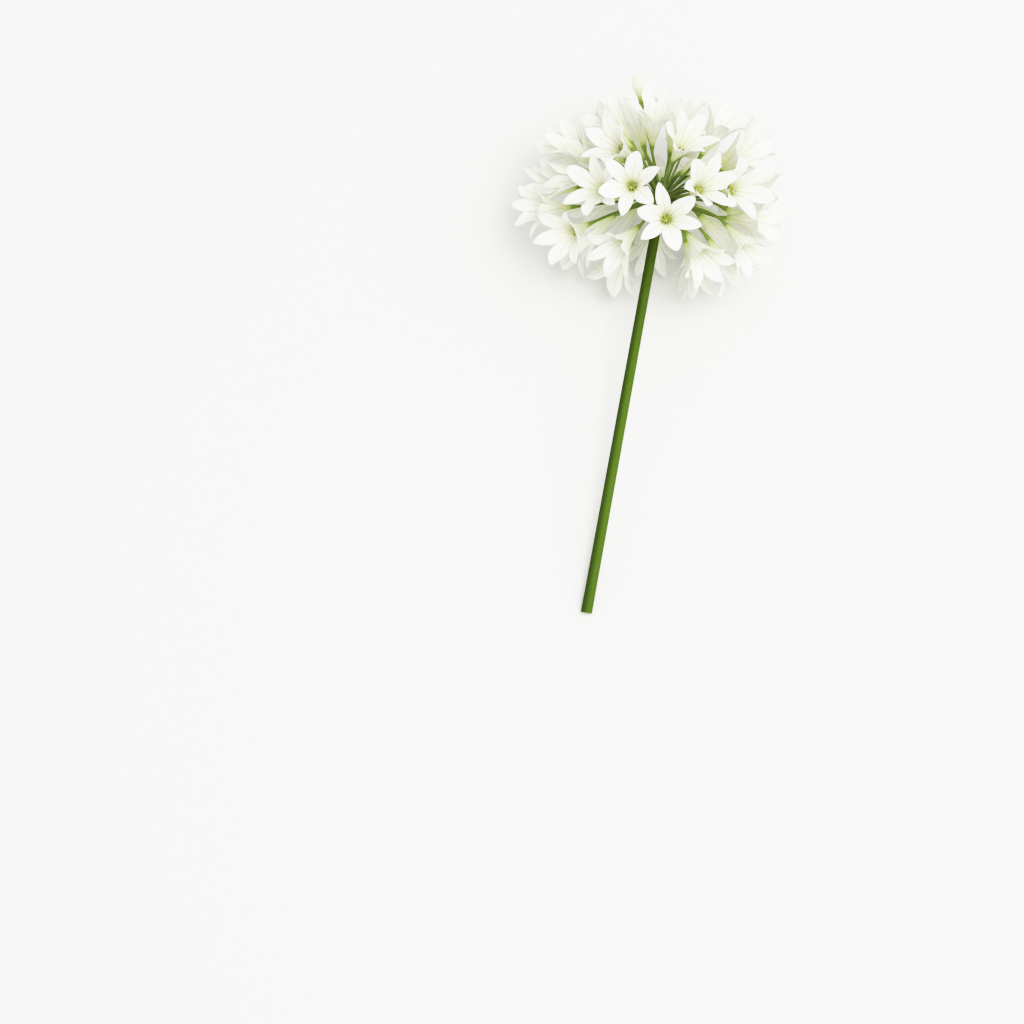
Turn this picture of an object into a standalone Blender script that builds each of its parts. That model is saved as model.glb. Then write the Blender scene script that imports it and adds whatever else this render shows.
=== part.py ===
"""White agapanthus flower head, picked and laid down: an open umbel on its straight cut scape.

Metres, +Z up, floor at z = 0. The scape runs along +Y up into the umbel's centre. The lowest
florets and the lower rim of the cut end touch the floor. Places in the umbel are given as a
viewer looking down on the head sees them: ACROSS to the right, ALONG the scape to the top of
the umbel, OUTWARD from the floor towards the viewer.
"""
import math

import bmesh
import bpy
import numpy as np
from mathutils import Matrix, Quaternion, Vector
from mathutils.bvhtree import BVHTree

OBJECT_NAME = "agapanthus_flower_head"
MILLIMETRE = 0.001

# Scape: its tilt lifts the umbel's centre off the floor while the cut end lies on it.
SCAPE_LENGTH = 0.302
SCAPE_TILT = math.radians(14.3)
SCAPE_CUT_RADIUS = 0.0041
SCAPE_TOP_RADIUS = 0.0036
SCAPE_RESOLUTION = 4
KNOB_RADIUS = 0.0065
KNOB_SIDES = 16
KNOB_RINGS = 8
HEAD_X = 0.007
HEAD_Y = 0.106
HEAD_HEIGHT = SCAPE_LENGTH * math.sin(SCAPE_TILT) + SCAPE_CUT_RADIUS * math.cos(SCAPE_TILT)

# Pedicels: round stalks that bend a little and widen where the floret sits.
PEDICEL_RADIUS = 0.0011
PEDICEL_END_RADIUS = 0.0018
PEDICEL_PULL = 0.35
PEDICEL_ARCH = 0.2
PEDICEL_STATIONS = (0, 0.35, 0.68)
SEAT_LENGTH = 0.005
PEDICEL_RESOLUTION = 1
STALK_MERGE = 0.000001
SEAT_GAP = 0.0003

# Florets: a short tube that opens into three outer and three inner tepals.
TUBE_LENGTH = 0.010
TUBE_BASE_RADIUS = 0.0018
THROAT_RADIUS = 0.0034
TEPAL_LENGTH = 0.034
THROAT_ANGLE = math.radians(14)
OUTER_HALF_WIDTH = 0.0050
INNER_HALF_WIDTH = 0.0060
OUTER_EXTRA_ANGLE = math.radians(6)
INNER_EXTRA_ANGLE = math.radians(-4)
TEPAL_SPREAD = math.radians(5)
TEPAL_ROOT_WIDTH = 0.6
TEPAL_BLUNTNESS = 0.3
TEPAL_ROOM = 0.0005
TEPAL_EDGE_LIFT = 0.0009
TEPAL_THICKNESS = 0.0008
TEPAL_ROWS = (0.38, 0.80)
LOBES = 6

# Buds: closed and slim, in the same seats as the florets.
BUD_LENGTH = 0.020
BUD_RADIUS = 0.0034
BUD_SIDES = 8
BUD_MERGE = 0.00001
BUD_OUTLINE = ((0, 1.0), (0.55, 0.93), (1.0, 0.72), (0.95, 0.52), (0.5, 0.16), (0.48, 0), (0, 0))

# The umbel is a little wider than it is high.
UMBEL_REACH_ACROSS = 0.090
UMBEL_REACH_ALONG = 0.075

# Florets that a viewer from above sees, in degrees and millimetres: azimuth about the scape
# (0 faces the viewer, 90 is to the right), elevation towards the top of the umbel, reach of the
# mouth, the azimuth and elevation that the mouth faces, and the angle that its tepals open to.
SHOWN_FLORETS = (
    (3, -15, 80, 0, -4, 64),
    (-19, -1, 83, -7, -2, 60),
    (-44, -4, 78, -26, -2, 56),
    (44, 9, 82, 24, 2, 58),
    (-35, -42, 78, -40, -42, 46),
    (41, -37, 79, 36, -37, 42),
    (61, -23, 90, 46, -36, 40),
    (71, -2, 87, 56, 2, 42),
    (-63, -30, 91, -38, -28, 55),
    (20, 6, 87, 16, 8, 46),
    (8, 30, 85, 14, 26, 46),
    (57, 31, 85, 36, 22, 46),
    (-65, 20, 92, -44, 24, 36),
    (-40, 19, 82, -34, 4, 44),
    (-22, 53, 80, -8, 42, 38),
    (50, 55, 82, 30, 48, 40),
    (95, 12, 89, 80, 8, 48),
    (-84, -14, 101, -60, -14, 42),
    (-105, -2, 99, -120, -4, 38),
    (-101, 13, 95, -124, 6, 36),
    (-96, 49, 86, -112, 44, 34),
    (-138, 58, 79, -160, 48, 40),
    (155, 67, 77, 170, 56, 40),
    (96, 43, 87, 108, 42, 42),
    (111, 24, 87, 126, 18, 44),
)
BUD_PLACES = ((-74, 67, 92), (14, 62, 65), (153, 35, 72), (-138, 14, 80))

# The rest of the umbel is filled by the golden angle, on the sides that a viewer from above
# doesn't see, down to the cone round the scape that stays bare.
FILL_DIRECTIONS = 220
FILL_FLORETS = 27
FILL_SEED = 11
FRONT_LIMIT = 0.30
BARE_ELEVATION = math.radians(-52)
FILL_NOD = 0.22
FILL_OPENINGS = (40, 68)

# A bloom that meets its neighbours turns, closes a little, then grows shorter or longer.
REACH_STEPS = (1.0, 0.95, 1.05, 0.9, 0.85, 0.8)
OPENING_STEPS = (1.0, 0.85, 0.7, 0.55)
TURN_STEPS = (-8, 12, 32, 52, 72, 92)
SHIFT_STEPS = ((0, 0), (0, 5), (5, 0), (-5, 0), (0, -5), (6, 6), (-6, 6), (-6, -6), (6, -6))
CLEARANCE = 0.0003
NEIGHBOUR_DISTANCE = 0.085
SLEEVE_SIDES = 6

ACROSS = Vector((1, 0, 0))
ALONG = Vector((0, math.cos(SCAPE_TILT), math.sin(SCAPE_TILT)))
OUTWARD = Vector((0, -math.sin(SCAPE_TILT), math.cos(SCAPE_TILT)))
CENTRE = Vector((HEAD_X, HEAD_Y, HEAD_HEIGHT))


def direction(azimuth, elevation):
    """Unit vector at an azimuth about the scape and an elevation towards the umbel's top."""
    level = math.sin(azimuth) * ACROSS + math.cos(azimuth) * OUTWARD
    return math.cos(elevation) * level + math.sin(elevation) * ALONG


def material(name, colour, roughness):
    made = bpy.data.materials.new(name)
    made.use_nodes = True
    shader = made.node_tree.nodes["Principled BSDF"]
    shader.inputs["Base Color"].default_value = (*colour, 1)
    shader.inputs["Roughness"].default_value = roughness
    shader.inputs["Metallic"].default_value = 0
    return made


def on_circle(radius, turn, height):
    return Vector((radius * math.cos(turn), radius * math.sin(turn), height))


def tepal_midline(share, end_angle):
    """Radius and height of a tepal's middle at a share of its length, bent on an arc."""
    bend = end_angle - THROAT_ANGLE
    angle = THROAT_ANGLE + bend * share
    radius = THROAT_RADIUS + TEPAL_LENGTH * (math.cos(THROAT_ANGLE) - math.cos(angle)) / bend
    height = TUBE_LENGTH + TEPAL_LENGTH * (math.sin(angle) - math.sin(THROAT_ANGLE)) / bend
    return radius, height, angle


def tepal_half_width(share, radius, angle, widest):
    """Widest past the middle, blunt at the tip, and never into the next tepal."""
    outline = widest * (TEPAL_ROOT_WIDTH + share) * (1 - share) ** TEPAL_BLUNTNESS
    edge_radius = radius - TEPAL_EDGE_LIFT * math.cos(angle)
    return min(outline, edge_radius * math.tan(math.pi / LOBES) - TEPAL_ROOM)


def tube_faces(first_base, first_throat):
    """Triangles of the tube, from one base corner a lobe to two throat corners a lobe."""
    faces = []
    for lobe in range(LOBES):
        after = (lobe + 1) % LOBES
        base, base_after = first_base + lobe, first_base + after
        throat, throat_after = first_throat + 2 * lobe, first_throat + 2 * after
        notch = throat + 1
        faces += [(base, base_after, notch), (base, notch, throat), (base_after, throat_after, notch)]
    return faces


def floret_surface(tepal_angles):
    """Corners and triangles of a floret's middle surface, mouth up, with the seat at the origin."""
    base_height = SEAT_GAP + TEPAL_THICKNESS / 2
    step = math.tau / LOBES
    points = [Vector((0, 0, base_height))]
    points += [on_circle(TUBE_BASE_RADIUS, lobe * step, base_height) for lobe in range(LOBES)]
    first_throat = len(points)
    points += [on_circle(THROAT_RADIUS, half * step / 2, TUBE_LENGTH) for half in range(2 * LOBES)]
    faces = [(0, 1 + (lobe + 1) % LOBES, 1 + lobe) for lobe in range(LOBES)]
    faces += tube_faces(1, first_throat)
    for lobe, end_angle in enumerate(tepal_angles):
        widest = INNER_HALF_WIDTH if lobe % 2 else OUTER_HALF_WIDTH
        turn = Matrix.Rotation(lobe * step, 3, "Z")
        notch_before = first_throat + (2 * lobe - 1) % (2 * LOBES)
        row = (notch_before, first_throat + 2 * lobe, first_throat + 2 * lobe + 1)
        for share in TEPAL_ROWS:
            radius, height, angle = tepal_midline(share, end_angle)
            edge = Vector((0, tepal_half_width(share, radius, angle, widest), 0))
            middle = Vector((radius, 0, height))
            raised = middle + TEPAL_EDGE_LIFT * Vector((-math.cos(angle), 0, math.sin(angle)))
            upper = tuple(len(points) + index for index in range(3))
            points += [turn @ (raised - edge), turn @ middle, turn @ (raised + edge)]
            faces += [(row[0], row[1], upper[1]), (row[0], upper[1], upper[0]),
                      (row[1], row[2], upper[1]), (row[2], upper[2], upper[1])]
            row = upper
        radius, height, angle = tepal_midline(1, end_angle)
        faces += [(row[0], row[1], len(points)), (row[1], row[2], len(points))]
        points.append(turn @ Vector((radius, 0, height)))
    return points, faces


def ring_faces(rows, sides):
    """Four-sided faces between rings of corners."""
    return [(sides * row + side, sides * row + (side + 1) % sides,
             sides * (row + 1) + (side + 1) % sides, sides * (row + 1) + side)
            for row in range(rows - 1) for side in range(sides)]


def bud_surface():
    """Corners and faces of a bud, which stand for it while the umbel is laid out."""
    points = [on_circle(BUD_RADIUS * radius, math.tau * side / BUD_SIDES, SEAT_GAP + BUD_LENGTH * height)
              for radius, height in BUD_OUTLINE for side in range(BUD_SIDES)]
    return points, ring_faces(len(BUD_OUTLINE), BUD_SIDES)


class Shape:
    """A bloom's surface in its own frame, with the skin that a neighbour has to clear."""

    def __init__(self, points, faces, thickness):
        self.points = np.array([tuple(point) for point in points])
        self.height = float(self.points[:, 2].max())
        self.faces = faces
        normals = np.zeros_like(self.points)
        for face in faces:
            a, b, c = (self.points[corner] for corner in face[:3])
            normals[list(face)] += np.cross(b - a, c - a)
        normals /= np.maximum(np.linalg.norm(normals, axis=1), 1e-12)[:, None]
        self.solid = np.concatenate([self.points + thickness / 2 * normals, self.points - thickness / 2 * normals])
        offset = (thickness / 2 + CLEARANCE) * normals
        self.skin = np.concatenate([self.points + offset, self.points - offset])
        inner = [tuple(corner + len(self.points) for corner in face) for face in faces]
        self.skin_faces = list(faces) + inner


def pedicel_points(base, facing):
    """A curve from the umbel's centre to a seat, which it meets straight along its facing."""
    reach = (base - CENTRE).length
    leaving = ((base - CENTRE).normalized() + PEDICEL_ARCH * ALONG).normalized()
    start = CENTRE + PEDICEL_PULL * reach * leaving
    end = base - PEDICEL_PULL * reach * facing
    points = []
    for t in PEDICEL_STATIONS:
        u = 1 - t
        points.append(u ** 3 * CENTRE + 3 * u * u * t * start + 3 * u * t * t * end + t ** 3 * base)
    return points + [base - SEAT_LENGTH * facing, base]


def sleeve(line, radius):
    """A plain tube round a stalk, for the test of what touches it."""
    outer = (radius + CLEARANCE) / math.cos(math.pi / SLEEVE_SIDES)
    points = []
    for index, centre in enumerate(line):
        along = line[min(index + 1, len(line) - 1)] - line[max(index - 1, 0)]
        side = along.orthogonal().normalized()
        points += [tuple(centre + outer * (Quaternion(along, corner * math.tau / SLEEVE_SIDES) @ side))
                   for corner in range(SLEEVE_SIDES)]
    return BVHTree.FromPolygons(points, ring_faces(len(line), SLEEVE_SIDES))


def scape_line():
    return [CENTRE - SCAPE_LENGTH * ALONG, CENTRE]


class Bloom:
    """A floret or bud in its seat."""

    def __init__(self, shape, place, reach, facing, turn):
        self.shape = shape
        self.facing = facing
        self.turn = facing.to_track_quat("Z", "Y") @ Quaternion((0, 0, 1), turn)
        spin = np.array(self.turn.to_matrix())
        base = CENTRE + reach * place - shape.height * facing
        lowest = base.z + (shape.solid @ spin.T)[:, 2].min()
        self.base = base + Vector((0, 0, max(0.0, -lowest)))
        self.mouth = self.base + shape.height * facing
        skin = shape.skin @ spin.T + np.array(self.base)
        self.surface = BVHTree.FromPolygons(skin.tolist(), shape.skin_faces)
        line = pedicel_points(self.base, facing)[1:]
        self.pedicel = sleeve(line, PEDICEL_END_RADIUS)

    def clears(self, others, scape):
        near = [other for other in others if (other.mouth - self.mouth).length < NEIGHBOUR_DISTANCE]
        return not self.surface.overlap(scape) and not any(
            self.surface.overlap(other.surface) or self.surface.overlap(other.pedicel)
            or self.pedicel.overlap(other.surface) for other in near)


class Umbel:
    """All florets and buds, each fitted between the ones before it."""

    def __init__(self):
        self.florets = []
        self.buds = []
        self.scape = sleeve(scape_line(), SCAPE_CUT_RADIUS)
        self.draw = np.random.default_rng(FILL_SEED)

    def fit(self, kept, shapes, place, reach, facing):
        """Keeps the widest shape that clears the others, if there is one."""
        others = self.florets + self.buds
        for reach_step in REACH_STEPS:
            for shape in shapes:
                for turn in TURN_STEPS:
                    bloom = Bloom(shape, place, reach * reach_step, facing, math.radians(turn))
                    if bloom.clears(others, self.scape):
                        kept.append(bloom)
                        return True
        return False

    def floret_shapes(self, opening):
        """The same floret opened less and less, with a small difference of its own in each tepal."""
        extra = [(INNER_EXTRA_ANGLE if lobe % 2 else OUTER_EXTRA_ANGLE)
                 + TEPAL_SPREAD * (2 * self.draw.random() - 1) for lobe in range(LOBES)]
        return [Shape(*floret_surface([opening * step + more for more in extra]), TEPAL_THICKNESS)
                for step in OPENING_STEPS]

    def add_buds(self):
        for azimuth, elevation, reach in BUD_PLACES:
            place = direction(math.radians(azimuth), math.radians(elevation))
            self.fit(self.buds, [Shape(*bud_surface(), 0)], place, reach * MILLIMETRE, place)

    def add_shown(self):
        for azimuth, elevation, reach, facing_azimuth, facing_elevation, opening in SHOWN_FLORETS:
            facing = direction(math.radians(facing_azimuth), math.radians(facing_elevation))
            shapes = self.floret_shapes(math.radians(opening))
            for round_scape, upward in SHIFT_STEPS:
                place = direction(math.radians(azimuth + round_scape), math.radians(elevation + upward))
                if self.fit(self.florets, shapes, place, reach * MILLIMETRE, facing):
                    break

    def add_fill(self):
        full = len(self.florets) + FILL_FLORETS
        golden_angle = math.pi * (3 - math.sqrt(5))
        for index in range(FILL_DIRECTIONS):
            elevation = math.asin(1 - (2 * index + 1) / FILL_DIRECTIONS)
            place = direction(index * golden_angle, elevation)
            shapes = self.floret_shapes(math.radians(self.draw.uniform(*FILL_OPENINGS)))
            bare = place.dot(OUTWARD) > FRONT_LIMIT or elevation < BARE_ELEVATION
            if bare or len(self.florets) == full:
                continue
            reach = 1 / math.hypot(math.cos(elevation) / UMBEL_REACH_ACROSS,
                                   math.sin(elevation) / UMBEL_REACH_ALONG)
            self.fit(self.florets, shapes, place, reach, (place - FILL_NOD * ALONG).normalized())


def linked(name, data, collection):
    made = bpy.data.objects.new(name, data)
    collection.objects.link(made)
    return made


def seated(name, mesh, bloom, collection):
    """An object for a bloom, at its seat and turned to its facing."""
    mesh.shade_smooth()
    made = linked(name, mesh, collection)
    made.location = bloom.base
    made.rotation_mode = "QUATERNION"
    made.rotation_quaternion = bloom.turn
    return made


def floret(name, bloom, finish, collection):
    mesh = bpy.data.meshes.new(name)
    mesh.from_pydata(bloom.shape.points.tolist(), [], bloom.shape.faces)
    mesh.materials.append(finish)
    made = seated(name, mesh, bloom, collection)
    solidify = made.modifiers.new("tepal thickness", "SOLIDIFY")
    solidify.thickness = TEPAL_THICKNESS
    solidify.offset = 0
    return made


def bud(name, bloom, finish, collection):
    mesh = bpy.data.meshes.new(name)
    outline = [(BUD_RADIUS * radius, 0, SEAT_GAP + BUD_LENGTH * height) for radius, height in BUD_OUTLINE]
    mesh.from_pydata(outline, [(row, row + 1) for row in range(len(outline) - 1)], [])
    mesh.materials.append(finish)
    made = seated(name, mesh, bloom, collection)
    screw = made.modifiers.new("turned", "SCREW")
    screw.steps = screw.render_steps = BUD_SIDES
    screw.use_merge_vertices = True
    screw.merge_threshold = BUD_MERGE
    return made


def stalk(name, points, radii, resolution, collection):
    """A round closed stalk along points, as a mesh made from a curve with filled caps."""
    line = bpy.data.curves.new(name, "CURVE")
    line.dimensions = "3D"
    line.bevel_depth = 1
    line.bevel_resolution = resolution
    line.use_fill_caps = True
    spline = line.splines.new("POLY")
    spline.points.add(len(points) - 1)
    for point, place, radius in zip(spline.points, points, radii):
        point.co = (*place, 1)
        point.radius = radius
    curve = linked(name, line, collection)
    bpy.context.view_layer.update()
    mesh = bpy.data.meshes.new_from_object(curve.evaluated_get(bpy.context.evaluated_depsgraph_get()))
    bpy.data.objects.remove(curve)
    corners = bmesh.new()
    corners.from_mesh(mesh)
    bmesh.ops.remove_doubles(corners, verts=corners.verts, dist=STALK_MERGE)
    corners.to_mesh(mesh)
    corners.free()
    return linked(name, mesh, collection)


def scape_and_pedicels(umbel, finish, collection):
    """Scape, knob and every pedicel, grown together as one body."""
    pieces = bpy.data.collections.new("stalks to join")
    bpy.context.scene.collection.children.link(pieces)
    scape = stalk("scape_and_pedicels", scape_line(), (SCAPE_CUT_RADIUS, SCAPE_TOP_RADIUS),
                  SCAPE_RESOLUTION, collection)
    bpy.ops.mesh.primitive_uv_sphere_add(segments=KNOB_SIDES, ring_count=KNOB_RINGS,
                                         radius=KNOB_RADIUS, location=CENTRE)
    knob = bpy.context.object
    knob.name = "knob"
    for holder in list(knob.users_collection):
        holder.objects.unlink(knob)
    pieces.objects.link(knob)
    radii = [PEDICEL_RADIUS] * (len(PEDICEL_STATIONS) + 1) + [PEDICEL_END_RADIUS]
    for index, bloom in enumerate(umbel.florets + umbel.buds):
        line = pedicel_points(bloom.base, bloom.facing)
        stalk(f"pedicel_{index + 1}", line, radii, PEDICEL_RESOLUTION, pieces)
    union = scape.modifiers.new("grown together", "BOOLEAN")
    union.operation = "UNION"
    union.operand_type = "COLLECTION"
    union.collection = pieces
    union.solver = "MANIFOLD"
    bpy.context.view_layer.update()
    scape_mesh = bpy.data.meshes.new_from_object(
        scape.evaluated_get(bpy.context.evaluated_depsgraph_get()))
    scape.modifiers.clear()
    scape.data = scape_mesh
    scape_mesh.materials.clear()
    scape_mesh.materials.append(finish)
    scape_mesh.shade_smooth()
    for piece in list(pieces.objects):
        bpy.data.objects.remove(piece)
    bpy.data.collections.remove(pieces)
    return scape


def main():
    for item in list(bpy.data.objects):
        bpy.data.objects.remove(item)
    collection = bpy.data.collections.new(OBJECT_NAME)
    bpy.context.scene.collection.children.link(collection)
    white = material("tepal white", (0.90, 0.91, 0.86), 0.55)
    green = material("stalk green", (0.09, 0.17, 0.03), 0.40)
    pale = material("bud green-white", (0.72, 0.78, 0.52), 0.50)
    umbel = Umbel()
    umbel.add_buds()
    umbel.add_shown()
    umbel.add_fill()
    for index, bloom in enumerate(umbel.florets):
        floret(f"floret_{index + 1:02d}", bloom, white, collection)
    for index, bloom in enumerate(umbel.buds):
        bud(f"bud_{index + 1}", bloom, pale, collection)
    scape_and_pedicels(umbel, green, collection)


main()
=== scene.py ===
"""Looks of a white agapanthus flower head: veined, waved tepals, stamens, buds and green stalks.

Each floret and bud is measured on its solid in the frame and rebuilt finely in the same place,
with lengths in metres. A tepal is a strip that wraps round the tube and then flattens as it
opens. Its marks run across it from 0 to 1 and along it from the foot of the tube to the tip, and
the materials read their veins and colours from those marks.
"""

import math

import bpy
import numpy as np
from mathutils import Matrix, Vector


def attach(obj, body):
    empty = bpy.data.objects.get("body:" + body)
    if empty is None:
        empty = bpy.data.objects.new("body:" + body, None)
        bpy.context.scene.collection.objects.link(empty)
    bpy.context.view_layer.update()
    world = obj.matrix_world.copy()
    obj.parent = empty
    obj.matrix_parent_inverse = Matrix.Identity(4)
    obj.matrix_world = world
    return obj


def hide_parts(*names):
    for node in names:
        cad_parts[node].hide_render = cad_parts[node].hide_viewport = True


SEED = 57

# The scape and the umbel's centre, as they lie in the frame
SCAPE_LENGTH = 0.302
SCAPE_TILT = math.radians(14.3)
SCAPE_CUT_RADIUS = 0.0041
SCAPE_TOP_RADIUS = 0.0036
HEAD_X = 0.007
HEAD_Y = 0.106
HEAD_HEIGHT = SCAPE_LENGTH * math.sin(SCAPE_TILT) + SCAPE_CUT_RADIUS * math.cos(SCAPE_TILT)
ACROSS = Vector((1, 0, 0))
ALONG = Vector((0, math.cos(SCAPE_TILT), math.sin(SCAPE_TILT)))
OUTWARD = Vector((0, -math.sin(SCAPE_TILT), math.cos(SCAPE_TILT)))
CENTRE = Vector((HEAD_X, HEAD_Y, HEAD_HEIGHT))

# The scape's finer form: three soft ridges, a cut and a knob. Each step of the cut, from its rim
# inwards, has a share of the radius and a depth into the scape. The knob's rings end at a small
# angle from its axis.
SCAPE_ROWS = 70
SCAPE_SIDES = 48
RIDGE_COUNT = 3
RIDGE_HEIGHT = 0.03
RIDGE_TURN = math.radians(38)
CUT_STEPS = ((1.0, 0), (0.93, -0.00015), (0.6, 0.0002), (0.3, 0.0004))
KNOB_RADIUS = 0.0062
KNOB_ROWS = 14
KNOB_SIDES = 24
KNOB_POLE = 0.04

# How a solid's corners are read: equal places are merged, and a floret's foot, throat and tips
# are told apart by their distance from the foot.
CORNER_DECIMALS = 6
LOBES = 6
FOOT_SPAN = 0.0046
THROAT_NEAREST = 0.0080
THROAT_FARTHEST = 0.0125
TIP_CORNERS = 2 * LOBES
FOOT_HEIGHT = 0.0007
FLOOR_CLEARANCE = 0.0001

# Florets: the tube and the outlines of the outer and inner tepals
TUBE_LENGTH = 0.010
TUBE_BASE_RADIUS = 0.0018
TUBE_FLARE = 1.3
THROAT_RADIUS = 0.0034
THROAT_ANGLE = math.radians(14)
TEPAL_LENGTH = 0.034
TUBE_SHARE = TUBE_LENGTH / (TUBE_LENGTH + TEPAL_LENGTH)
OUTER_HALF_WIDTH = 0.0052
INNER_HALF_WIDTH = 0.0063
WIDTH_SPREAD = (0.94, 1.06)
WIDEST_SHARE = 0.60
ROOT_SHARE = 0.50
OUTER_TIP_POWER = 0.78
INNER_TIP_POWER = 0.58
TIP_POWER_SPREAD = (-0.08, 0.08)

# Tepals: rows crowd towards the tip, and the last one stops just short of it
TUBE_ROWS = 6
TEPAL_ROWS = 22
TEPAL_COLUMNS = 13
ROW_CROWDING = 1.5
LAST_ROW = 0.999
MIDLINE_STEPS = 400
SHORTEST_NORMAL = 1e-12

# Tepals: how they wrap the tube, bend back, overlap, twist and wave. A channel is the curvature
# across an open tepal, and a layer the step that keeps outer tepals behind inner ones.
TUBE_WRAP = 1.14
RECURVE_DEGREES = (8, 26)
OUTER_CHANNEL = (70, 120)
INNER_CHANNEL = (35, 75)
CHANNEL_FADE = 0.16
LAYER = 0.00022
LAYER_FADE = (0.15, 0.6)
OUTER_WAVE = (0.0003, 0.0007)
INNER_WAVE = (0.0006, 0.0014)
WAVE_BEATS = (1.3, 2.4)
WAVE_RISE = (0.1, 0.5)
WAVE_EDGE_POWER = 2.2
TWIST_DEGREES = (-20, 20)
SWAY = (-0.0020, 0.0020)

# Tepals: the fold along the middle with its two raised sides, and the thinning to tip and edges
FOLD_DEPTH = 0.00056
FOLD_RISE = (-0.6, 0.05)
FOLD_FADE_POWER = 0.4
FOLD_WIDTH = 0.13
FOLD_SIDE_PLACE = 0.32
FOLD_SIDE_SHARE = 0.45
TEPAL_THICKNESS = 0.00045
TIP_THINNING = 0.75
TIP_THINNING_RISE = (0.80, 1)
EDGE_THINNING = 0.5

# Stamens and style: lengths from the foot of the tube, and the ranges that each is drawn from.
# A bend is the share of a half wave that a drooping line follows.
STAMEN_STEPS = 9
FILAMENT_SIDES = 6
STAMEN_FOOT = 0.0080
STAMEN_RING_RADIUS = 0.0019
STAMEN_TURN = (-0.25, 0.25)
STAMEN_LEAN_DEGREES = (-4, 7)
STAMEN_LENGTH = (0.0045, 0.0090)
STAMEN_DROOP = 0.0010
STAMEN_BEND = 0.75
FILAMENT_RADII = (0.00050, 0.00030)
ANTHER_STEPS = 7
ANTHER_SIDES = 8
ANTHER_OUT = (0.5, 1.0)
ANTHER_SIDEWAYS = (-0.8, 0.8)
ANTHER_UP = (-0.2, 0.5)
ANTHER_HALF_LENGTH = (0.0011, 0.0015)
ANTHER_RADIUS = 0.00066
ANTHER_TAPER = 0.93
STYLE_LENGTH = 0.0100
STYLE_DROOP = 0.0018
STYLE_BEND = 0.8
STYLE_RADII = (0.00042, 0.00026)
DROOP_LEAST = 0.4

# Ovary
OVARY_LENGTH = 0.0092
OVARY_RADIUS = 0.0023
OVARY_ROWS = 12
OVARY_SIDES = 14
OVARY_FOOT_SHARE = 0.42
OVARY_TOP = 1.02
OVARY_TOP_POWER = 6

# Buds
BUD_RADIUS = 0.0042
BUD_NECK = 0.42
BUD_NECK_END = 0.10
BUD_WIDEST = 0.58
BUD_TIP = 1.0005
BUD_TIP_POWER = 2.4
BUD_RIDGE_HEIGHT = 0.045
BUD_TWIST = 0.5
BUD_ROWS = 34
BUD_SIDES = 36
BUD_FOOT_SPAN = 0.0012
BUD_SEAT_DROP = 0.0003

# Pedicels: slim at their root, swelling under their floret and reaching a little into it
PEDICEL_RADIUS = 0.0010
PEDICEL_ROOT_RADIUS = 0.00092
PEDICEL_END_RADIUS = 0.00185
PEDICEL_SPREAD = (0.78, 1.04)
PEDICEL_ROOT_FADE = (0, 0.3)
PEDICEL_SWELL = (0.80, 0.97)
PEDICEL_END_TAPER = 0.86
PEDICEL_OVERLAP = 0.0013
PEDICEL_PULL = 0.35
PEDICEL_ARCH = 0.2
PEDICEL_ROWS = 20
PEDICEL_SIDES = 10

# Slots of each piece's materials, in the order that they are handed over
TEPAL_SLOT, FILAMENT_SLOT, ANTHER_SLOT, OVARY_SLOT = range(4)
SCAPE_SLOT, PEDICEL_SLOT, CUT_SLOT = range(3)

# Studio
FLOOR_SIDE = 12
FLOOR_COLOUR = (0.830, 0.826, 0.815, 1)
SKY_COLOUR = (1.0, 0.997, 0.985, 1)
SKY_STRENGTH = 0.68

# Camera: the picture is 1024 pixels square, and the head's middle has its place in it
PICTURE_SIDE = 1024
METRES_A_PIXEL = 0.000722
HEAD_PIXEL = (661, 201)
PICTURE_ROLL = math.radians(10.3)
LENS = 85
SENSOR = 36
TONE_CURVE = 3
TONES = ((0.0, 0.0), (0.07, 0.082), (0.26, 0.42), (0.40, 0.60), (0.58, 0.755), (0.78, 0.885), (1.0, 0.945))

draw = np.random.default_rng(SEED)
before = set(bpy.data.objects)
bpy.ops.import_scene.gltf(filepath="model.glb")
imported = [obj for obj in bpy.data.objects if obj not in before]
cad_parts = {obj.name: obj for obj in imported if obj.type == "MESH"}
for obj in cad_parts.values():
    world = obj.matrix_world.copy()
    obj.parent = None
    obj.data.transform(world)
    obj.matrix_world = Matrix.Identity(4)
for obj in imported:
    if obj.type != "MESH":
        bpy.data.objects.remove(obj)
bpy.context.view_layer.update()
scene = bpy.context.scene


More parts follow.
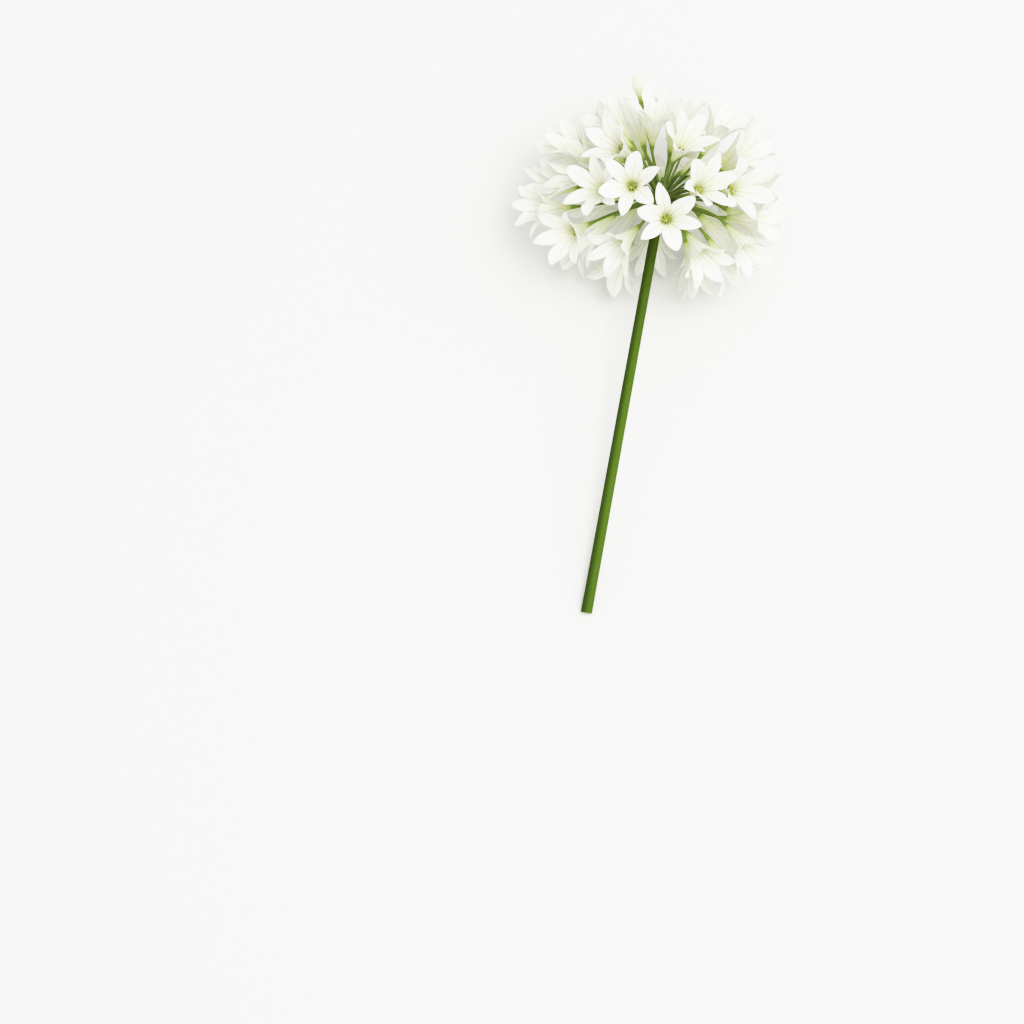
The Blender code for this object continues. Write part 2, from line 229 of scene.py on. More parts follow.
class Surface:
    """Corners, faces, marks and materials of one piece, collected strip by strip."""

    def __init__(self):
        self.points = []
        self.marks = []
        self.faces = []
        self.slots = []
        self.count = 0

    def add(self, points, marks, faces, slot):
        self.points.append(np.asarray(points, float).reshape(-1, 3))
        self.marks.append(np.asarray(marks, float).reshape(-1, 2))
        self.faces += [tuple(corner + self.count for corner in face) for face in faces]
        self.slots += [slot] * len(faces)
        self.count += len(self.points[-1])

    def rings(self, points, marks, slot, first_closed=True, last_closed=True):
        """Rows of corners, each row a ring, joined by four-sided faces."""
        rows, sides = points.shape[:2]
        faces = [(sides * row + side, sides * row + (side + 1) % sides,
                  sides * (row + 1) + (side + 1) % sides, sides * (row + 1) + side)
                 for row in range(rows - 1) for side in range(sides)]
        if first_closed:
            faces.append(tuple(range(sides))[::-1])
        if last_closed:
            faces.append(tuple(range(sides * (rows - 1), sides * rows)))
        self.add(points, marks, faces, slot)

    def piece(self, name, materials, turn=Matrix.Identity(3), seat=Vector()):
        """One mesh of all the strips, turned and moved to its seat and kept above the floor."""
        mesh = bpy.data.meshes.new(name)
        points = np.concatenate(self.points) @ np.array(turn).T + np.array(seat)
        points[:, 2] = np.maximum(points[:, 2], FLOOR_CLEARANCE)
        marks = np.concatenate(self.marks)
        mesh.from_pydata(points.tolist(), [], self.faces)
        layer = mesh.uv_layers.new(name="marks")
        corners = np.zeros(len(mesh.loops), np.int32)
        mesh.loops.foreach_get("vertex_index", corners)
        layer.data.foreach_set("uv", marks[corners].ravel())
        mesh.polygons.foreach_set("material_index", self.slots)
        for finish in materials:
            mesh.materials.append(finish)
        mesh.shade_smooth()
        made = bpy.data.objects.new(name, mesh)
        scene.collection.objects.link(made)
        return made


def unique_corners(node):
    found = np.array([corner.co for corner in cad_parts[node].data.vertices])
    return np.unique(found.round(CORNER_DECIMALS), axis=0)


class Measured:
    """Seat, facing and tepals of a floret, as its solid has them."""

    def __init__(self, node):
        corners = unique_corners(node)
        nearest = corners[np.linalg.norm(corners - np.array(CENTRE), axis=1).argmin()]
        foot = corners[np.linalg.norm(corners - nearest, axis=1) < FOOT_SPAN].mean(axis=0)
        far = np.linalg.norm(corners - foot, axis=1)
        throat = corners[(far > THROAT_NEAREST) & (far < THROAT_FARTHEST)].mean(axis=0)
        self.facing = Vector(throat - foot).normalized()
        self.seat = Vector(foot) - FOOT_HEIGHT * self.facing
        self.level = self.facing.to_track_quat("Z", "Y").to_matrix()
        tips = (corners[far.argsort()[-TIP_CORNERS:]] - np.array(self.seat)) @ np.array(self.level)
        turns = np.arctan2(tips[:, 1], tips[:, 0])
        order = turns.argsort()
        if turns[order[1]] - turns[order[0]] > math.pi / LOBES:
            order = np.roll(order, 1)
        self.tepals = []
        for first, second in order.reshape(LOBES, 2):
            x, y, height = (tips[first] + tips[second]) / 2
            chord = math.atan2(math.hypot(x, y) - THROAT_RADIUS, height - TUBE_LENGTH)
            self.tepals.append((math.atan2(y, x), 2 * chord - THROAT_ANGLE))
        even = sum(angle for _, angle in self.tepals[0::2])
        odd = sum(angle for _, angle in self.tepals[1::2])
        self.outer_first = even > odd


def smooth_step(value, low, high):
    share = np.clip((value - low) / (high - low), 0, 1)
    return share * share * (3 - 2 * share)


def tepal_lines(end_angle, recurve):
    """Radius, height and angle of a tepal's middle for each row, and the share of its length.

    The share runs from -1 at the foot of the tube to 0 at the throat and 1 at the tip.
    """
    tube = np.linspace(0, 1, TUBE_ROWS, endpoint=False)
    steps = np.linspace(0, 1, TEPAL_ROWS)
    share = np.concatenate([tube - 1, 1 - (1 - steps) ** ROW_CROWDING])
    share[-1] = LAST_ROW
    fine = np.linspace(0, 1, MIDLINE_STEPS)
    angle = THROAT_ANGLE + (end_angle - THROAT_ANGLE) * fine + recurve * (fine ** 3 - fine / 2)
    radius = THROAT_RADIUS + TEPAL_LENGTH * np.cumsum(np.sin(angle)) / len(fine)
    height = TUBE_LENGTH + TEPAL_LENGTH * np.cumsum(np.cos(angle)) / len(fine)
    up = np.clip(share, 0, 1)
    low = np.clip(share + 1, 0, 1)
    tube_radius = TUBE_BASE_RADIUS + (THROAT_RADIUS - TUBE_BASE_RADIUS) * low ** TUBE_FLARE
    tube_height = FOOT_HEIGHT + (TUBE_LENGTH - FOOT_HEIGHT) * low
    tube_angle = THROAT_ANGLE * smooth_step(low, 0, 1)
    row_radius = np.where(share < 0, tube_radius, np.interp(up, fine, radius))
    row_height = np.where(share < 0, tube_height, np.interp(up, fine, height))
    row_angle = np.where(share < 0, tube_angle, np.interp(up, fine, angle))
    return share, row_radius, row_height, row_angle


def tepal_half_widths(up, outer):
    """Half widths along an open tepal: broad past its middle, blunt or a little pointed at its tip."""
    widest = (OUTER_HALF_WIDTH if outer else INNER_HALF_WIDTH) * draw.uniform(*WIDTH_SPREAD)
    power = (OUTER_TIP_POWER if outer else INNER_TIP_POWER) + draw.uniform(*TIP_POWER_SPREAD)
    rising = ROOT_SHARE + (1 - ROOT_SHARE) * np.sin(math.pi / 2 * np.minimum(up / WIDEST_SHARE, 1))
    past = np.clip((up - WIDEST_SHARE) / (1 - WIDEST_SHARE), 0, 1)
    return widest * rising * (1 - past ** 2) ** power


def edge_waves(up, across, outer):
    """How far each corner is lifted by the waves of the tepal's two edges."""
    height = draw.uniform(*(OUTER_WAVE if outer else INNER_WAVE))
    beats = draw.uniform(*WAVE_BEATS, 2)
    starts = draw.uniform(0, math.tau, 2)
    edge = np.abs(across) ** WAVE_EDGE_POWER
    lift = 0
    for beat, start, this_side in zip(beats, starts, (across > 0, across < 0)):
        wave = np.sin(math.tau * beat * up + start) * smooth_step(up, *WAVE_RISE)
        lift = lift + height * wave[:, None] * edge * this_side
    return lift


def fold(share, up, across):
    """Depth of the fold along a tepal's middle, with a raised line on each side of it."""
    sides = np.exp(-((np.abs(across) - FOLD_SIDE_PLACE) / FOLD_WIDTH) ** 2)
    groove = np.exp(-(across / FOLD_WIDTH) ** 2) - FOLD_SIDE_SHARE * sides
    depth = FOLD_DEPTH * smooth_step(share, *FOLD_RISE) * (1 - up) ** FOLD_FADE_POWER
    return depth[:, None] * groove


def tepal_sheet(share, radius, height, angle, across, outer):
    """Corners of a tepal's middle surface, row by row."""
    up = np.clip(share, 0, 1)
    wrapped = TUBE_WRAP * radius * math.pi / LOBES
    half_width = np.where(share < 0, wrapped, np.minimum(tepal_half_widths(up, outer), wrapped))
    channel = draw.uniform(*(OUTER_CHANNEL if outer else INNER_CHANNEL))
    opening = channel + (1 / THROAT_RADIUS - channel) * np.exp(-up / CHANNEL_FADE)
    curve = np.where(share < 0, 1 / radius, opening)[:, None]
    bend = curve * half_width[:, None] * across
    side = np.sin(bend) / curve
    layer = (-LAYER if outer else LAYER) * (1 - smooth_step(up, *LAYER_FADE))
    rise = (1 - np.cos(bend)) / curve + layer[:, None]
    rise = rise + edge_waves(up, across, outer) - fold(share, up, across)
    twist = (math.radians(draw.uniform(*TWIST_DEGREES)) * up)[:, None]
    sway = (draw.uniform(*SWAY) * up ** 2)[:, None]
    moved_side = side * np.cos(twist) - rise * np.sin(twist) + sway
    moved_rise = side * np.sin(twist) + rise * np.cos(twist)
    x = radius[:, None] - moved_rise * np.cos(angle)[:, None]
    z = height[:, None] + moved_rise * np.sin(angle)[:, None]
    return np.stack([x, moved_side, z], axis=-1)


def strip_faces(rows, columns):
    """Faces of a thin closed strip whose rows are rings, down one side and back up the other."""
    sides = 2 * columns
    faces = [(sides * row + side, sides * (row + 1) + side,
              sides * (row + 1) + (side + 1) % sides, sides * row + (side + 1) % sides)
             for row in range(rows - 1) for side in range(sides)]
    for row in (0, rows - 1):
        end = [(sides * row + column, sides * row + column + 1,
                sides * row + sides - 2 - column, sides * row + sides - 1 - column)
               for column in range(columns - 1)]
        faces += end if row == 0 else [face[::-1] for face in end]
    return faces


def add_tepal(surface, turn, end_angle, outer):
    """One tepal, from the foot of the tube to its tip, as a thin closed strip."""
    share, radius, height, angle = tepal_lines(end_angle, math.radians(draw.uniform(*RECURVE_DEGREES)))
    across = np.linspace(-1, 1, TEPAL_COLUMNS)
    middle = tepal_sheet(share, radius, height, angle, across, outer)
    normal = np.cross(np.gradient(middle, axis=0), np.gradient(middle, axis=1))
    normal /= np.maximum(np.linalg.norm(normal, axis=-1, keepdims=True), SHORTEST_NORMAL)
    up = np.clip(share, 0, 1)
    tip_thinning = 1 - TIP_THINNING * smooth_step(up, *TIP_THINNING_RISE)
    thickness = TEPAL_THICKNESS * np.outer(tip_thinning, 1 - EDGE_THINNING * across ** 2)
    half = normal * thickness[..., None] / 2
    ring = np.concatenate([middle + half, (middle - half)[:, ::-1]], axis=1)
    marks = np.zeros(ring.shape[:2] + (2,))
    marks[..., 0] = 0.5 + 0.5 * np.concatenate([across, across[::-1]])
    along = np.where(share < 0, (1 + share) * TUBE_SHARE, TUBE_SHARE + (1 - TUBE_SHARE) * up)
    marks[..., 1] = along[:, None]
    spin = np.array(Matrix.Rotation(turn, 3, "Z"))
    surface.add(ring @ spin.T, marks, strip_faces(len(share), TEPAL_COLUMNS), TEPAL_SLOT)


def tube_rings(line, radii, sides, ridges=0, ridge_turn=0, start=None):
    """Rings of corners round a line from a start direction, with soft ridges where asked."""
    line = np.asarray(line, float)
    heading = np.gradient(line, axis=0)
    heading /= np.linalg.norm(heading, axis=1, keepdims=True)
    first = Vector(heading[0]).orthogonal() if start is None else start
    turns = np.linspace(0, math.tau, sides, endpoint=False)
    swell = (1 + ridges * np.cos(RIDGE_COUNT * (turns - ridge_turn)))[:, None]
    rows = []
    for centre, along, radius in zip(line, heading, radii):
        along = Vector(along)
        first = (first - first.dot(along) * along).normalized()
        second = along.cross(first)
        ring = np.outer(np.cos(turns), first) + np.outer(np.sin(turns), second)
        rows.append(centre + radius * swell * ring)
    return np.array(rows)


def ring_marks(rows, sides, along=None, tint=None):
    """Marks of a tube: round it, or one tint all over, and along it evenly or as given."""
    marks = np.zeros((rows, sides, 2))
    marks[..., 0] = np.linspace(0, 1, sides, endpoint=False) if tint is None else tint
    marks[..., 1] = (np.linspace(0, 1, rows) if along is None else along)[:, None]
    return marks


def add_stalk(surface, line, radii, sides, slot, tint=None):
    rings = tube_rings(line, radii, sides)
    surface.rings(rings, ring_marks(len(rings), sides, tint=tint), slot)


def add_anther(surface, middle, out):
    """A short blunt anther, balanced on the end of its filament."""
    sideways = np.array([-out[1], out[0], 0])
    heading = out * draw.uniform(*ANTHER_OUT) + sideways * draw.uniform(*ANTHER_SIDEWAYS)
    heading = heading + np.array([0, 0, draw.uniform(*ANTHER_UP)])
    heading /= np.linalg.norm(heading)
    spans = np.linspace(-1, 1, ANTHER_STEPS)[:, None]
    line = middle + draw.uniform(*ANTHER_HALF_LENGTH) * spans * heading
    radii = ANTHER_RADIUS * np.sqrt(np.clip(1 - ANTHER_TAPER * spans[:, 0] ** 4, 0, 1))
    add_stalk(surface, line, radii, ANTHER_SIDES, ANTHER_SLOT)


def add_stamens(surface, droop):
    """Six curved filaments with their anthers, and one style."""
    up = np.array([0, 0, 1])
    steps = np.linspace(0, 1, STAMEN_STEPS)[:, None]
    for lobe in range(LOBES):
        turn = lobe * math.tau / LOBES + draw.uniform(*STAMEN_TURN)
        lean = math.radians(draw.uniform(*STAMEN_LEAN_DEGREES))
        length = draw.uniform(*STAMEN_LENGTH)
        out = np.array([math.cos(turn), math.sin(turn), 0])
        line = out * (STAMEN_RING_RADIUS + length * math.sin(lean) * steps)
        line = line + droop * STAMEN_DROOP * np.sin(steps * math.pi * STAMEN_BEND)
        line = line + up * (STAMEN_FOOT + length * math.cos(lean) * steps)
        radii = np.linspace(*FILAMENT_RADII, STAMEN_STEPS)
        add_stalk(surface, line, radii, FILAMENT_SIDES, FILAMENT_SLOT)
        add_anther(surface, line[-1], out)
    style = droop * STYLE_DROOP * np.sin(steps * math.pi * STYLE_BEND)
    style = style + up * (STAMEN_FOOT + STYLE_LENGTH * steps)
    add_stalk(surface, style, np.linspace(*STYLE_RADII, STAMEN_STEPS), FILAMENT_SIDES, FILAMENT_SLOT)


def add_ovary(surface):
    """The ovary with the joined feet of the filaments, which fills the tube up to the throat."""
    heights = np.linspace(0, 1, OVARY_ROWS)
    line = np.outer(FOOT_HEIGHT + OVARY_LENGTH * heights, [0, 0, 1])
    widening = OVARY_FOOT_SHARE + (1 - OVARY_FOOT_SHARE) * heights
    radii = OVARY_RADIUS * widening * np.sqrt(np.clip(OVARY_TOP - heights ** OVARY_TOP_POWER, 0, 1))
    add_stalk(surface, line, radii, OVARY_SIDES, OVARY_SLOT)


def make_floret(node, materials):
    measured = Measured(node)
    surface = Surface()
    for index, (turn, end_angle) in enumerate(measured.tepals):
        add_tepal(surface, turn, end_angle, (index % 2 == 0) == measured.outer_first)
    droop = np.array(measured.level.inverted() @ -ALONG)
    droop[2] = 0
    droop /= max(np.linalg.norm(droop), DROOP_LEAST)
    add_stamens(surface, droop)
    add_ovary(surface)
    made = surface.piece(f"bloom_{node}", materials, measured.level, measured.seat)
    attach(made, "root")
    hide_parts(node)
    return measured.seat, measured.facing


def make_bud(node, materials):
    corners = unique_corners(node)
    far = np.linalg.norm(corners - np.array(CENTRE), axis=1)
    foot = Vector(corners[far < far.min() + BUD_FOOT_SPAN].mean(axis=0))
    tip = Vector(corners[far.argmax()])
    facing = (tip - foot).normalized()
    share = np.linspace(0, 1, BUD_ROWS)
    past = np.clip((share - BUD_WIDEST) / (1 - BUD_WIDEST), 0, 1)
    outline = BUD_NECK + (1 - BUD_NECK) * smooth_step(share, BUD_NECK_END, BUD_WIDEST)
    outline = outline * np.sqrt(np.clip(BUD_TIP - past ** BUD_TIP_POWER, 0, 1))
    turns = np.linspace(0, math.tau, BUD_SIDES, endpoint=False)
    ridges = 1 + BUD_RIDGE_HEIGHT * np.outer(np.sin(math.pi * share), np.cos(LOBES * turns))
    radius = BUD_RADIUS * outline[:, None] * ridges
    turned = turns + BUD_TWIST * share[:, None]
    heights = np.repeat((share * (tip - foot).length)[:, None], BUD_SIDES, axis=1)
    points = np.stack([radius * np.cos(turned), radius * np.sin(turned), heights], axis=-1)
    surface = Surface()
    surface.rings(points, ring_marks(BUD_ROWS, BUD_SIDES), 0)
    made = surface.piece(f"closed_{node}", materials, facing.to_track_quat("Z", "Y").to_matrix(), foot)
    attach(made, "root")
    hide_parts(node)
    return foot - BUD_SEAT_DROP * facing, facing


def pedicel_line(seat, facing):
    """A curve from the umbel's centre to a seat, and a little further into the floret."""
    reach = (seat - CENTRE).length
    leaving = ((seat - CENTRE).normalized() + PEDICEL_ARCH * ALONG).normalized()
    start = CENTRE + PEDICEL_PULL * reach * leaving
    end = seat - PEDICEL_PULL * reach * facing
    t = np.linspace(0, 1, PEDICEL_ROWS)[:, None]
    u = 1 - t
    curve = (u ** 3 * np.array(CENTRE) + 3 * u * u * t * np.array(start)
             + 3 * u * t * t * np.array(end) + t ** 3 * np.array(seat))
    return np.vstack([curve, np.array(seat + PEDICEL_OVERLAP * facing)])


def add_pedicels(surface, seats):
    steps = np.linspace(0, 1, PEDICEL_ROWS + 1)
    root = 1 - smooth_step(steps, *PEDICEL_ROOT_FADE)
    shaft = PEDICEL_RADIUS + (PEDICEL_ROOT_RADIUS - PEDICEL_RADIUS) * root
    for seat, facing in seats:
        slim = shaft * draw.uniform(*PEDICEL_SPREAD)
        radii = slim + (PEDICEL_END_RADIUS - slim) * smooth_step(steps, *PEDICEL_SWELL)
        radii[-1] *= PEDICEL_END_TAPER
        line = pedicel_line(seat, facing)
        add_stalk(surface, line, radii, PEDICEL_SIDES, PEDICEL_SLOT, tint=draw.uniform(0, 1))


def add_scape(surface):
    """The ridged scape, open at its lower end, where the steps of the cut close it."""
    share = np.linspace(0, 1, SCAPE_ROWS)
    line = np.array(CENTRE) - SCAPE_LENGTH * np.outer(1 - share, ALONG)
    radii = SCAPE_CUT_RADIUS + (SCAPE_TOP_RADIUS - SCAPE_CUT_RADIUS) * share
    rings = tube_rings(line, radii, SCAPE_SIDES, RIDGE_HEIGHT, RIDGE_TURN, ALONG.cross(ACROSS))
    surface.rings(rings, ring_marks(SCAPE_ROWS, SCAPE_SIDES), SCAPE_SLOT, first_closed=False)
    steps = CUT_STEPS[::-1]
    cut_rings = np.array([line[0] + scale * (rings[0] - line[0]) + depth * np.array(ALONG)
                          for scale, depth in steps])
    cut_marks = ring_marks(len(steps), SCAPE_SIDES, np.array(steps)[:, 0])
    surface.rings(cut_rings, cut_marks, CUT_SLOT, last_closed=False)


def add_knob(surface):
    """The small round knob at the top of the scape, from which the pedicels leave."""
    turn = np.linspace(KNOB_POLE, math.pi - KNOB_POLE, KNOB_ROWS)
    line = np.array([CENTRE - KNOB_RADIUS * math.cos(step) * ALONG for step in turn])
    rings = tube_rings(line, KNOB_RADIUS * np.sin(turn), KNOB_SIDES)
    surface.rings(rings, ring_marks(KNOB_ROWS, KNOB_SIDES), PEDICEL_SLOT)


def make_stalks(seats, materials):
    surface = Surface()
    add_pedicels(surface, seats)
    add_scape(surface)
    add_knob(surface)
    made = surface.piece("stalks", materials)
    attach(made, "root")
    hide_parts("scape_and_pedicels")


class Nodes:
    """Short calls for a material's nodes."""

    def __init__(self, name):
        self.material = bpy.data.materials.new(name)
        self.material.use_nodes = True
        self.tree = self.material.node_tree
        self.shader = self.tree.nodes["Principled BSDF"]

    def add(self, kind, **settings):
        node = self.tree.nodes.new(kind)
        for key, value in settings.items():
            setattr(node, key, value)
        return node

    def link(self, source, target):
        self.tree.links.new(source, target)

    def shade(self, colour, normal, values):
        """Links the colour and the relief to the shader and sets its constant values."""
        self.link(colour, self.shader.inputs["Base Color"])
        self.link(normal, self.shader.inputs["Normal"])
        for socket, value in values.items():
            self.shader.inputs[socket].default_value = value
        return self.material

    def marks(self):
        node = self.add("ShaderNodeUVMap", uv_map="marks")
        split = self.add("ShaderNodeSeparateXYZ")
        self.link(node.outputs[0], split.inputs[0])
        return split.outputs[0], split.outputs[1]

    def math(self, operation, first, second=None):
        node = self.add("ShaderNodeMath", operation=operation)
        for socket, value in zip(node.inputs, (first, second)):
            if isinstance(value, (int, float)):
                socket.default_value = value
            elif value is not None:
                self.link(value, socket)
        return node.outputs[0]

    def times(self, first, second):
        return self.math("MULTIPLY", first, second)

    def ramp(self, factor, stops):
        node = self.add("ShaderNodeValToRGB")
        node.color_ramp.elements.remove(node.color_ramp.elements[1])
        node.color_ramp.elements[0].position = stops[0][0]
        node.color_ramp.elements[0].color = (*stops[0][1], 1)
        for place, colour in stops[1:]:
            node.color_ramp.elements.new(place).color = (*colour, 1)
        self.link(factor, node.inputs[0])
        return node.outputs[0]

    def noise(self, scale, detail=3, vector=None):
        node = self.add("ShaderNodeTexNoise")
        node.inputs["Scale"].default_value = scale
        node.inputs["Detail"].default_value = detail
        place = vector
        if place is None:
            place = self.add("ShaderNodeTexCoord").outputs["Object"]
        self.link(place, node.inputs["Vector"])
        return node.outputs["Fac"]

    def mix(self, factor, first, second):
        node = self.add("ShaderNodeMix", data_type="RGBA")
        sockets = (node.inputs[0], node.inputs[6], node.inputs[7])
        for socket, value in zip(sockets, (factor, first, second)):
            if isinstance(value, tuple):
                socket.default_value = (*value, 1)
            else:
                self.link(value, socket)
        return node.outputs[2]

    def clouded(self, ground, colour, scale, detail, amount):
        """The ground with soft patches of another colour."""
        return self.mix(self.times(self.noise(scale, detail), amount), ground, colour)

    def bump(self, height, distance, strength=1.0, before=None):
        node = self.add("ShaderNodeBump")
        node.inputs["Distance"].default_value = distance
        node.inputs["Strength"].default_value = strength
        self.link(height, node.inputs["Height"])
        if before is not None:
            self.link(before, node.inputs["Normal"])
        return node.outputs[0]


def tepal_material():
    """White, with a green foot, a yellow-green throat and faint grey-green veins."""
    made = Nodes("tepal")
    across, along = made.marks()
    drift = made.times(made.math("SUBTRACT", made.noise(scale=260, detail=2), 0.5), 0.06)
    ground = made.ramp(made.math("ADD", along, drift),
                       ((0.0, (0.26, 0.37, 0.05)), (0.06, (0.52, 0.61, 0.19)),
                        (0.14, (0.74, 0.80, 0.42)), (0.27, (0.83, 0.865, 0.51)),
                        (0.37, (0.89, 0.908, 0.66)), (0.52, (0.935, 0.942, 0.81)),
                        (1.0, (0.95, 0.95, 0.875))))
    centre = made.math("ABSOLUTE", made.math("SUBTRACT", across, 0.5))
    fade = made.math("POWER", made.math("SUBTRACT", 1, along), 0.5)

    rib_sharpness, rib_power, rib_strength = 13, 1.5, 0.90
    rib = made.math("SUBTRACT", 1, made.math("MINIMUM", made.times(centre, rib_sharpness), 1))
    rib = made.times(made.math("POWER", rib, rib_power), made.times(fade, rib_strength))
    ribbed = made.mix(rib, ground, (0.46, 0.54, 0.25))

    vein_beats, vein_power, vein_strength = 62, 3, 0.34
    lines = made.math("MAXIMUM", made.math("SINE", made.times(centre, vein_beats)), 0)
    lines = made.math("POWER", lines, vein_power)
    veined = made.mix(made.times(made.times(lines, fade), vein_strength), ribbed, (0.60, 0.65, 0.40))

    colour = made.clouded(veined, (0.74, 0.77, 0.62), scale=70, detail=4, amount=0.07)
    grain = made.bump(made.noise(scale=2600, detail=2), distance=0.00004, strength=0.5)
    relief = made.bump(lines, distance=0.00008, strength=0.7, before=grain)
    return made.shade(colour, relief, {"Roughness": 0.52, "Specular IOR Level": 0.35, "Sheen Weight": 0.08,
                                       "Subsurface Weight": 0.5, "Subsurface Radius": (1.0, 1.0, 0.70),
                                       "Subsurface Scale": 0.0016})


def plain_plant_material(name, stops, roughness, subsurface, grain_scale, grain_depth):
    """A soft green or pale plant surface whose colour runs along its marks."""
    made = Nodes(name)
    ground = made.ramp(made.marks()[1], stops)
    colour = made.clouded(ground, stops[0][1], scale=grain_scale / 6, detail=4, amount=0.35)
    relief = made.bump(made.noise(grain_scale), grain_depth)
    return made.shade(colour, relief, {"Roughness": roughness, "Specular IOR Level": 0.2,
                                       "Subsurface Weight": subsurface, "Subsurface Scale": 0.0012})


def pedicel_material():
    """Olive green, each stalk with a tint of its own, paler towards its floret."""
    made = Nodes("pedicel")
    tint, along = made.marks()
    ground = made.ramp(along, ((0.0, (0.055, 0.090, 0.004)), (0.45, (0.080, 0.130, 0.008)),
                               (0.75, (0.125, 0.185, 0.020)), (1.0, (0.25, 0.34, 0.07))))
    tint_power, tint_strength = 1.5, 0.60
    tinting = made.times(made.math("POWER", tint, tint_power), tint_strength)
    tinted = made.mix(tinting, ground, (0.24, 0.30, 0.075))
    colour = made.clouded(tinted, (0.062, 0.100, 0.006), scale=150, detail=4, amount=0.35)
    relief = made.bump(made.noise(scale=900), distance=0.00004)
    return made.shade(colour, relief, {"Roughness": 0.45, "Specular IOR Level": 0.2,
                                       "Subsurface Weight": 0.1, "Subsurface Scale": 0.0012})


def scape_material():
    """Green, with fine lengthwise lines, painted shade down one side and a darker top."""
    made = Nodes("scape")
    across, along = made.marks()
    ground = made.ramp(along, ((0.0, (0.084, 0.140, 0.014)), (0.35, (0.098, 0.155, 0.017)),
                               (0.60, (0.090, 0.142, 0.013)), (0.80, (0.066, 0.108, 0.006)),
                               (1.0, (0.046, 0.067, 0.004))))

    streaks_round, streaks_along, streak_strength = 42, 5, 0.45
    stretched = made.add("ShaderNodeCombineXYZ")
    made.link(made.times(across, streaks_round), stretched.inputs[0])
    made.link(made.times(along, streaks_along), stretched.inputs[1])
    streaks = made.noise(scale=1.0, detail=5, vector=stretched.outputs[0])
    streaked = made.mix(made.times(streaks, streak_strength), ground, (0.105, 0.165, 0.016))

    # Painted shade: one side of the scape is darkened in its colour, as if that side were turned away from
    # the light
    painted_shade_turn, painted_shade_strength = 0.30, 0.80
    turn = made.math("SUBTRACT", made.times(across, math.tau), painted_shade_turn)
    side = made.math("MAXIMUM", made.math("SINE", turn), 0)
    shade_painted = made.mix(made.times(side, painted_shade_strength), streaked, (0.020, 0.041, 0.0015))

    colour = made.clouded(shade_painted, (0.034, 0.070, 0.002), scale=180, detail=3, amount=0.25)
    lengthwise = made.bump(streaks, distance=0.00012, strength=0.8)
    relief = made.bump(made.noise(scale=1500, detail=2), distance=0.00003, strength=0.5, before=lengthwise)
    return made.shade(colour, relief, {"Roughness": 0.50, "Specular IOR Level": 0.06,
                                       "Subsurface Weight": 0.08, "Subsurface Scale": 0.001})


def cut_material():
    """The moist pale pith of the cut, greener towards its rim."""
    made = Nodes("cut face")
    ground = made.ramp(made.marks()[1], ((0.0, (0.55, 0.62, 0.34)), (0.75, (0.48, 0.57, 0.26)),
                                         (0.92, (0.22, 0.34, 0.07)), (1.0, (0.13, 0.22, 0.03))))
    fibres = made.noise(scale=2200, detail=2)
    colour = made.mix(made.times(fibres, 0.5), ground, (0.32, 0.40, 0.14))
    return made.shade(colour, made.bump(fibres, distance=0.0002), {"Roughness": 0.35})


def make_floor():
    bpy.ops.mesh.primitive_plane_add(size=FLOOR_SIDE)
    floor = bpy.context.object
    floor.name = "floor"
    made = Nodes("floor")
    made.shader.inputs["Base Color"].default_value = FLOOR_COLOUR
    made.shader.inputs["Roughness"].default_value = 0.9
    made.shader.inputs["Specular IOR Level"].default_value = 0.1
    floor.data.materials.append(made.material)


def area_light(name, offset, size, power):
    """A round soft light, with its offset from the umbel's centre across, along and outward."""
    data = bpy.data.lights.new(name, "AREA")
    data.shape = "DISK"
    data.size = size
    data.energy = power
    made = bpy.data.objects.new(name, data)
    scene.collection.objects.link(made)
    ray = offset[0] * ACROSS + offset[1] * ALONG + offset[2] * OUTWARD
    made.location = CENTRE + ray
    made.rotation_euler = ray.to_track_quat("Z", "Y").to_euler()


def make_lights():
    world = bpy.data.worlds.new("studio")
    world.use_nodes = True
    sky = world.node_tree.nodes["Background"]
    sky.inputs["Color"].default_value = SKY_COLOUR
    sky.inputs["Strength"].default_value = SKY_STRENGTH
    scene.world = world
    area_light("front", offset=(0.30, 0.20, 2.4), size=1.2, power=27.5)
    area_light("side", offset=(1.2, 0.6, 1.7), size=1.6, power=6)


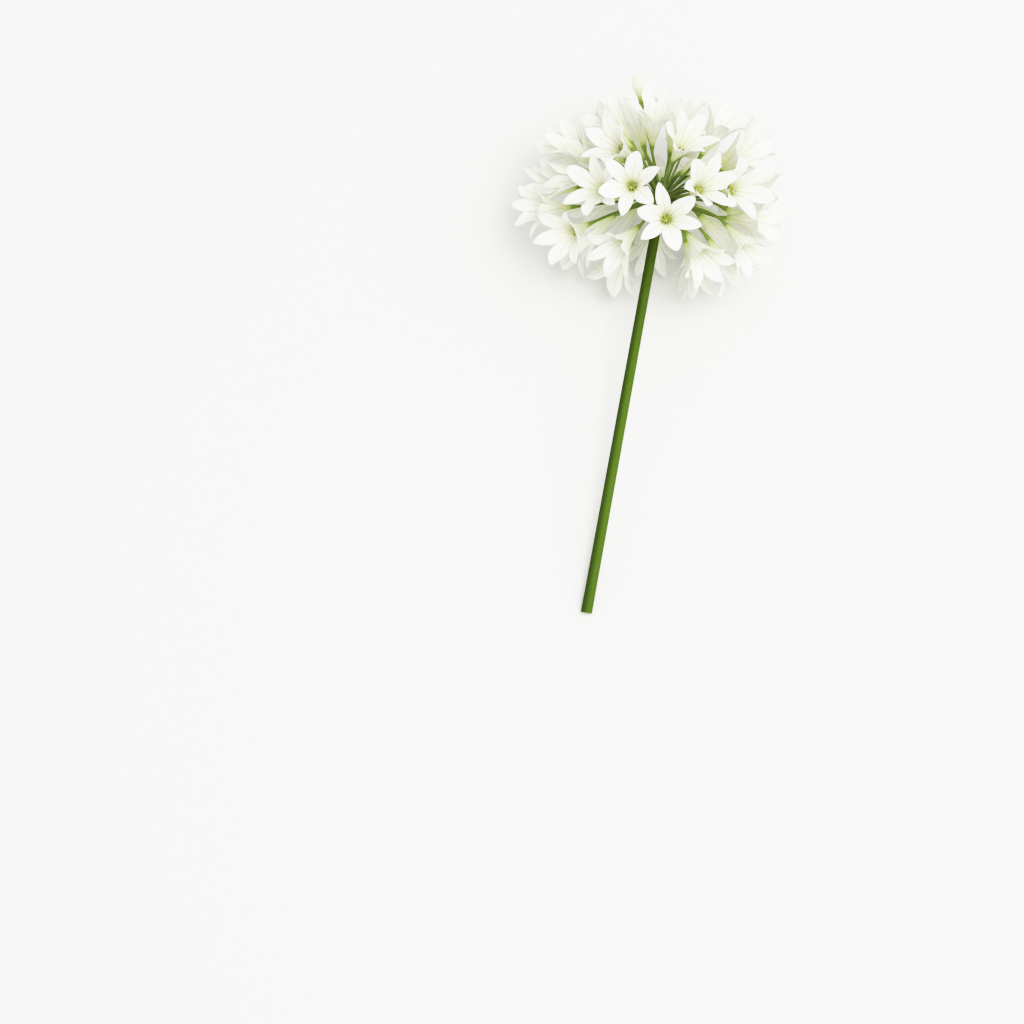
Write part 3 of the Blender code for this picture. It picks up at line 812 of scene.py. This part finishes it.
def make_camera():
    """Keeps the head at its place in the picture, as large and as much rolled."""
    right = math.cos(PICTURE_ROLL) * ACROSS + math.sin(PICTURE_ROLL) * ALONG
    up = -math.sin(PICTURE_ROLL) * ACROSS + math.cos(PICTURE_ROLL) * ALONG
    distance = METRES_A_PIXEL * PICTURE_SIDE * LENS / SENSOR
    to_right = METRES_A_PIXEL * (HEAD_PIXEL[0] - PICTURE_SIDE / 2)
    to_top = METRES_A_PIXEL * (PICTURE_SIDE / 2 - HEAD_PIXEL[1])
    data = bpy.data.cameras.new("camera")
    data.lens = LENS
    data.sensor_width = SENSOR
    camera = bpy.data.objects.new("camera", data)
    scene.collection.objects.link(camera)
    turned = Matrix((right, up, OUTWARD)).transposed().to_4x4()
    place = CENTRE - to_right * right - to_top * up + distance * OUTWARD
    camera.matrix_world = Matrix.Translation(place) @ turned
    scene.camera = camera


def set_tones():
    """A high-key camera response: deep greens, lifted mid-tones and soft whites."""
    view = scene.view_settings
    view.view_transform = "Standard"
    view.use_curve_mapping = True
    curve = view.curve_mapping.curves[TONE_CURVE]
    curve.points[0].location = TONES[0]
    curve.points[-1].location = TONES[-1]
    for place in TONES[1:-1]:
        curve.points.new(*place)
    view.curve_mapping.update()


def floret_materials():
    """Finishes in the order of a floret's slots."""
    filament = plain_plant_material("filament", ((0.0, (0.70, 0.76, 0.50)), (0.4, (0.90, 0.91, 0.82))),
                                    roughness=0.5, subsurface=0.4, grain_scale=1500, grain_depth=0.00002)
    anther = plain_plant_material("anther", ((0.0, (0.24, 0.28, 0.040)), (1.0, (0.36, 0.39, 0.085))),
                                  roughness=0.8, subsurface=0.1, grain_scale=3500, grain_depth=0.0001)
    ovary = plain_plant_material("ovary", ((0.0, (0.40, 0.50, 0.10)), (1.0, (0.56, 0.64, 0.18))),
                                 roughness=0.4, subsurface=0.3, grain_scale=1500, grain_depth=0.00003)
    return [tepal_material(), filament, anther, ovary]


def bud_material():
    stops = ((0.0, (0.20, 0.30, 0.03)), (0.14, (0.38, 0.48, 0.11)), (0.28, (0.76, 0.79, 0.50)),
             (0.6, (0.89, 0.90, 0.76)), (1.0, (0.84, 0.87, 0.68)))
    return plain_plant_material("bud", stops, roughness=0.45, subsurface=0.4,
                                grain_scale=900, grain_depth=0.00004)


def main():
    petals = floret_materials()
    bud = bud_material()
    seats = []
    for node in sorted(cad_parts):
        if node.startswith("floret"):
            seats.append(make_floret(node, petals))
        elif node.startswith("bud"):
            seats.append(make_bud(node, [bud]))
    make_stalks(seats, [scape_material(), pedicel_material(), cut_material()])
    make_floor()
    make_lights()
    make_camera()
    set_tones()


main()
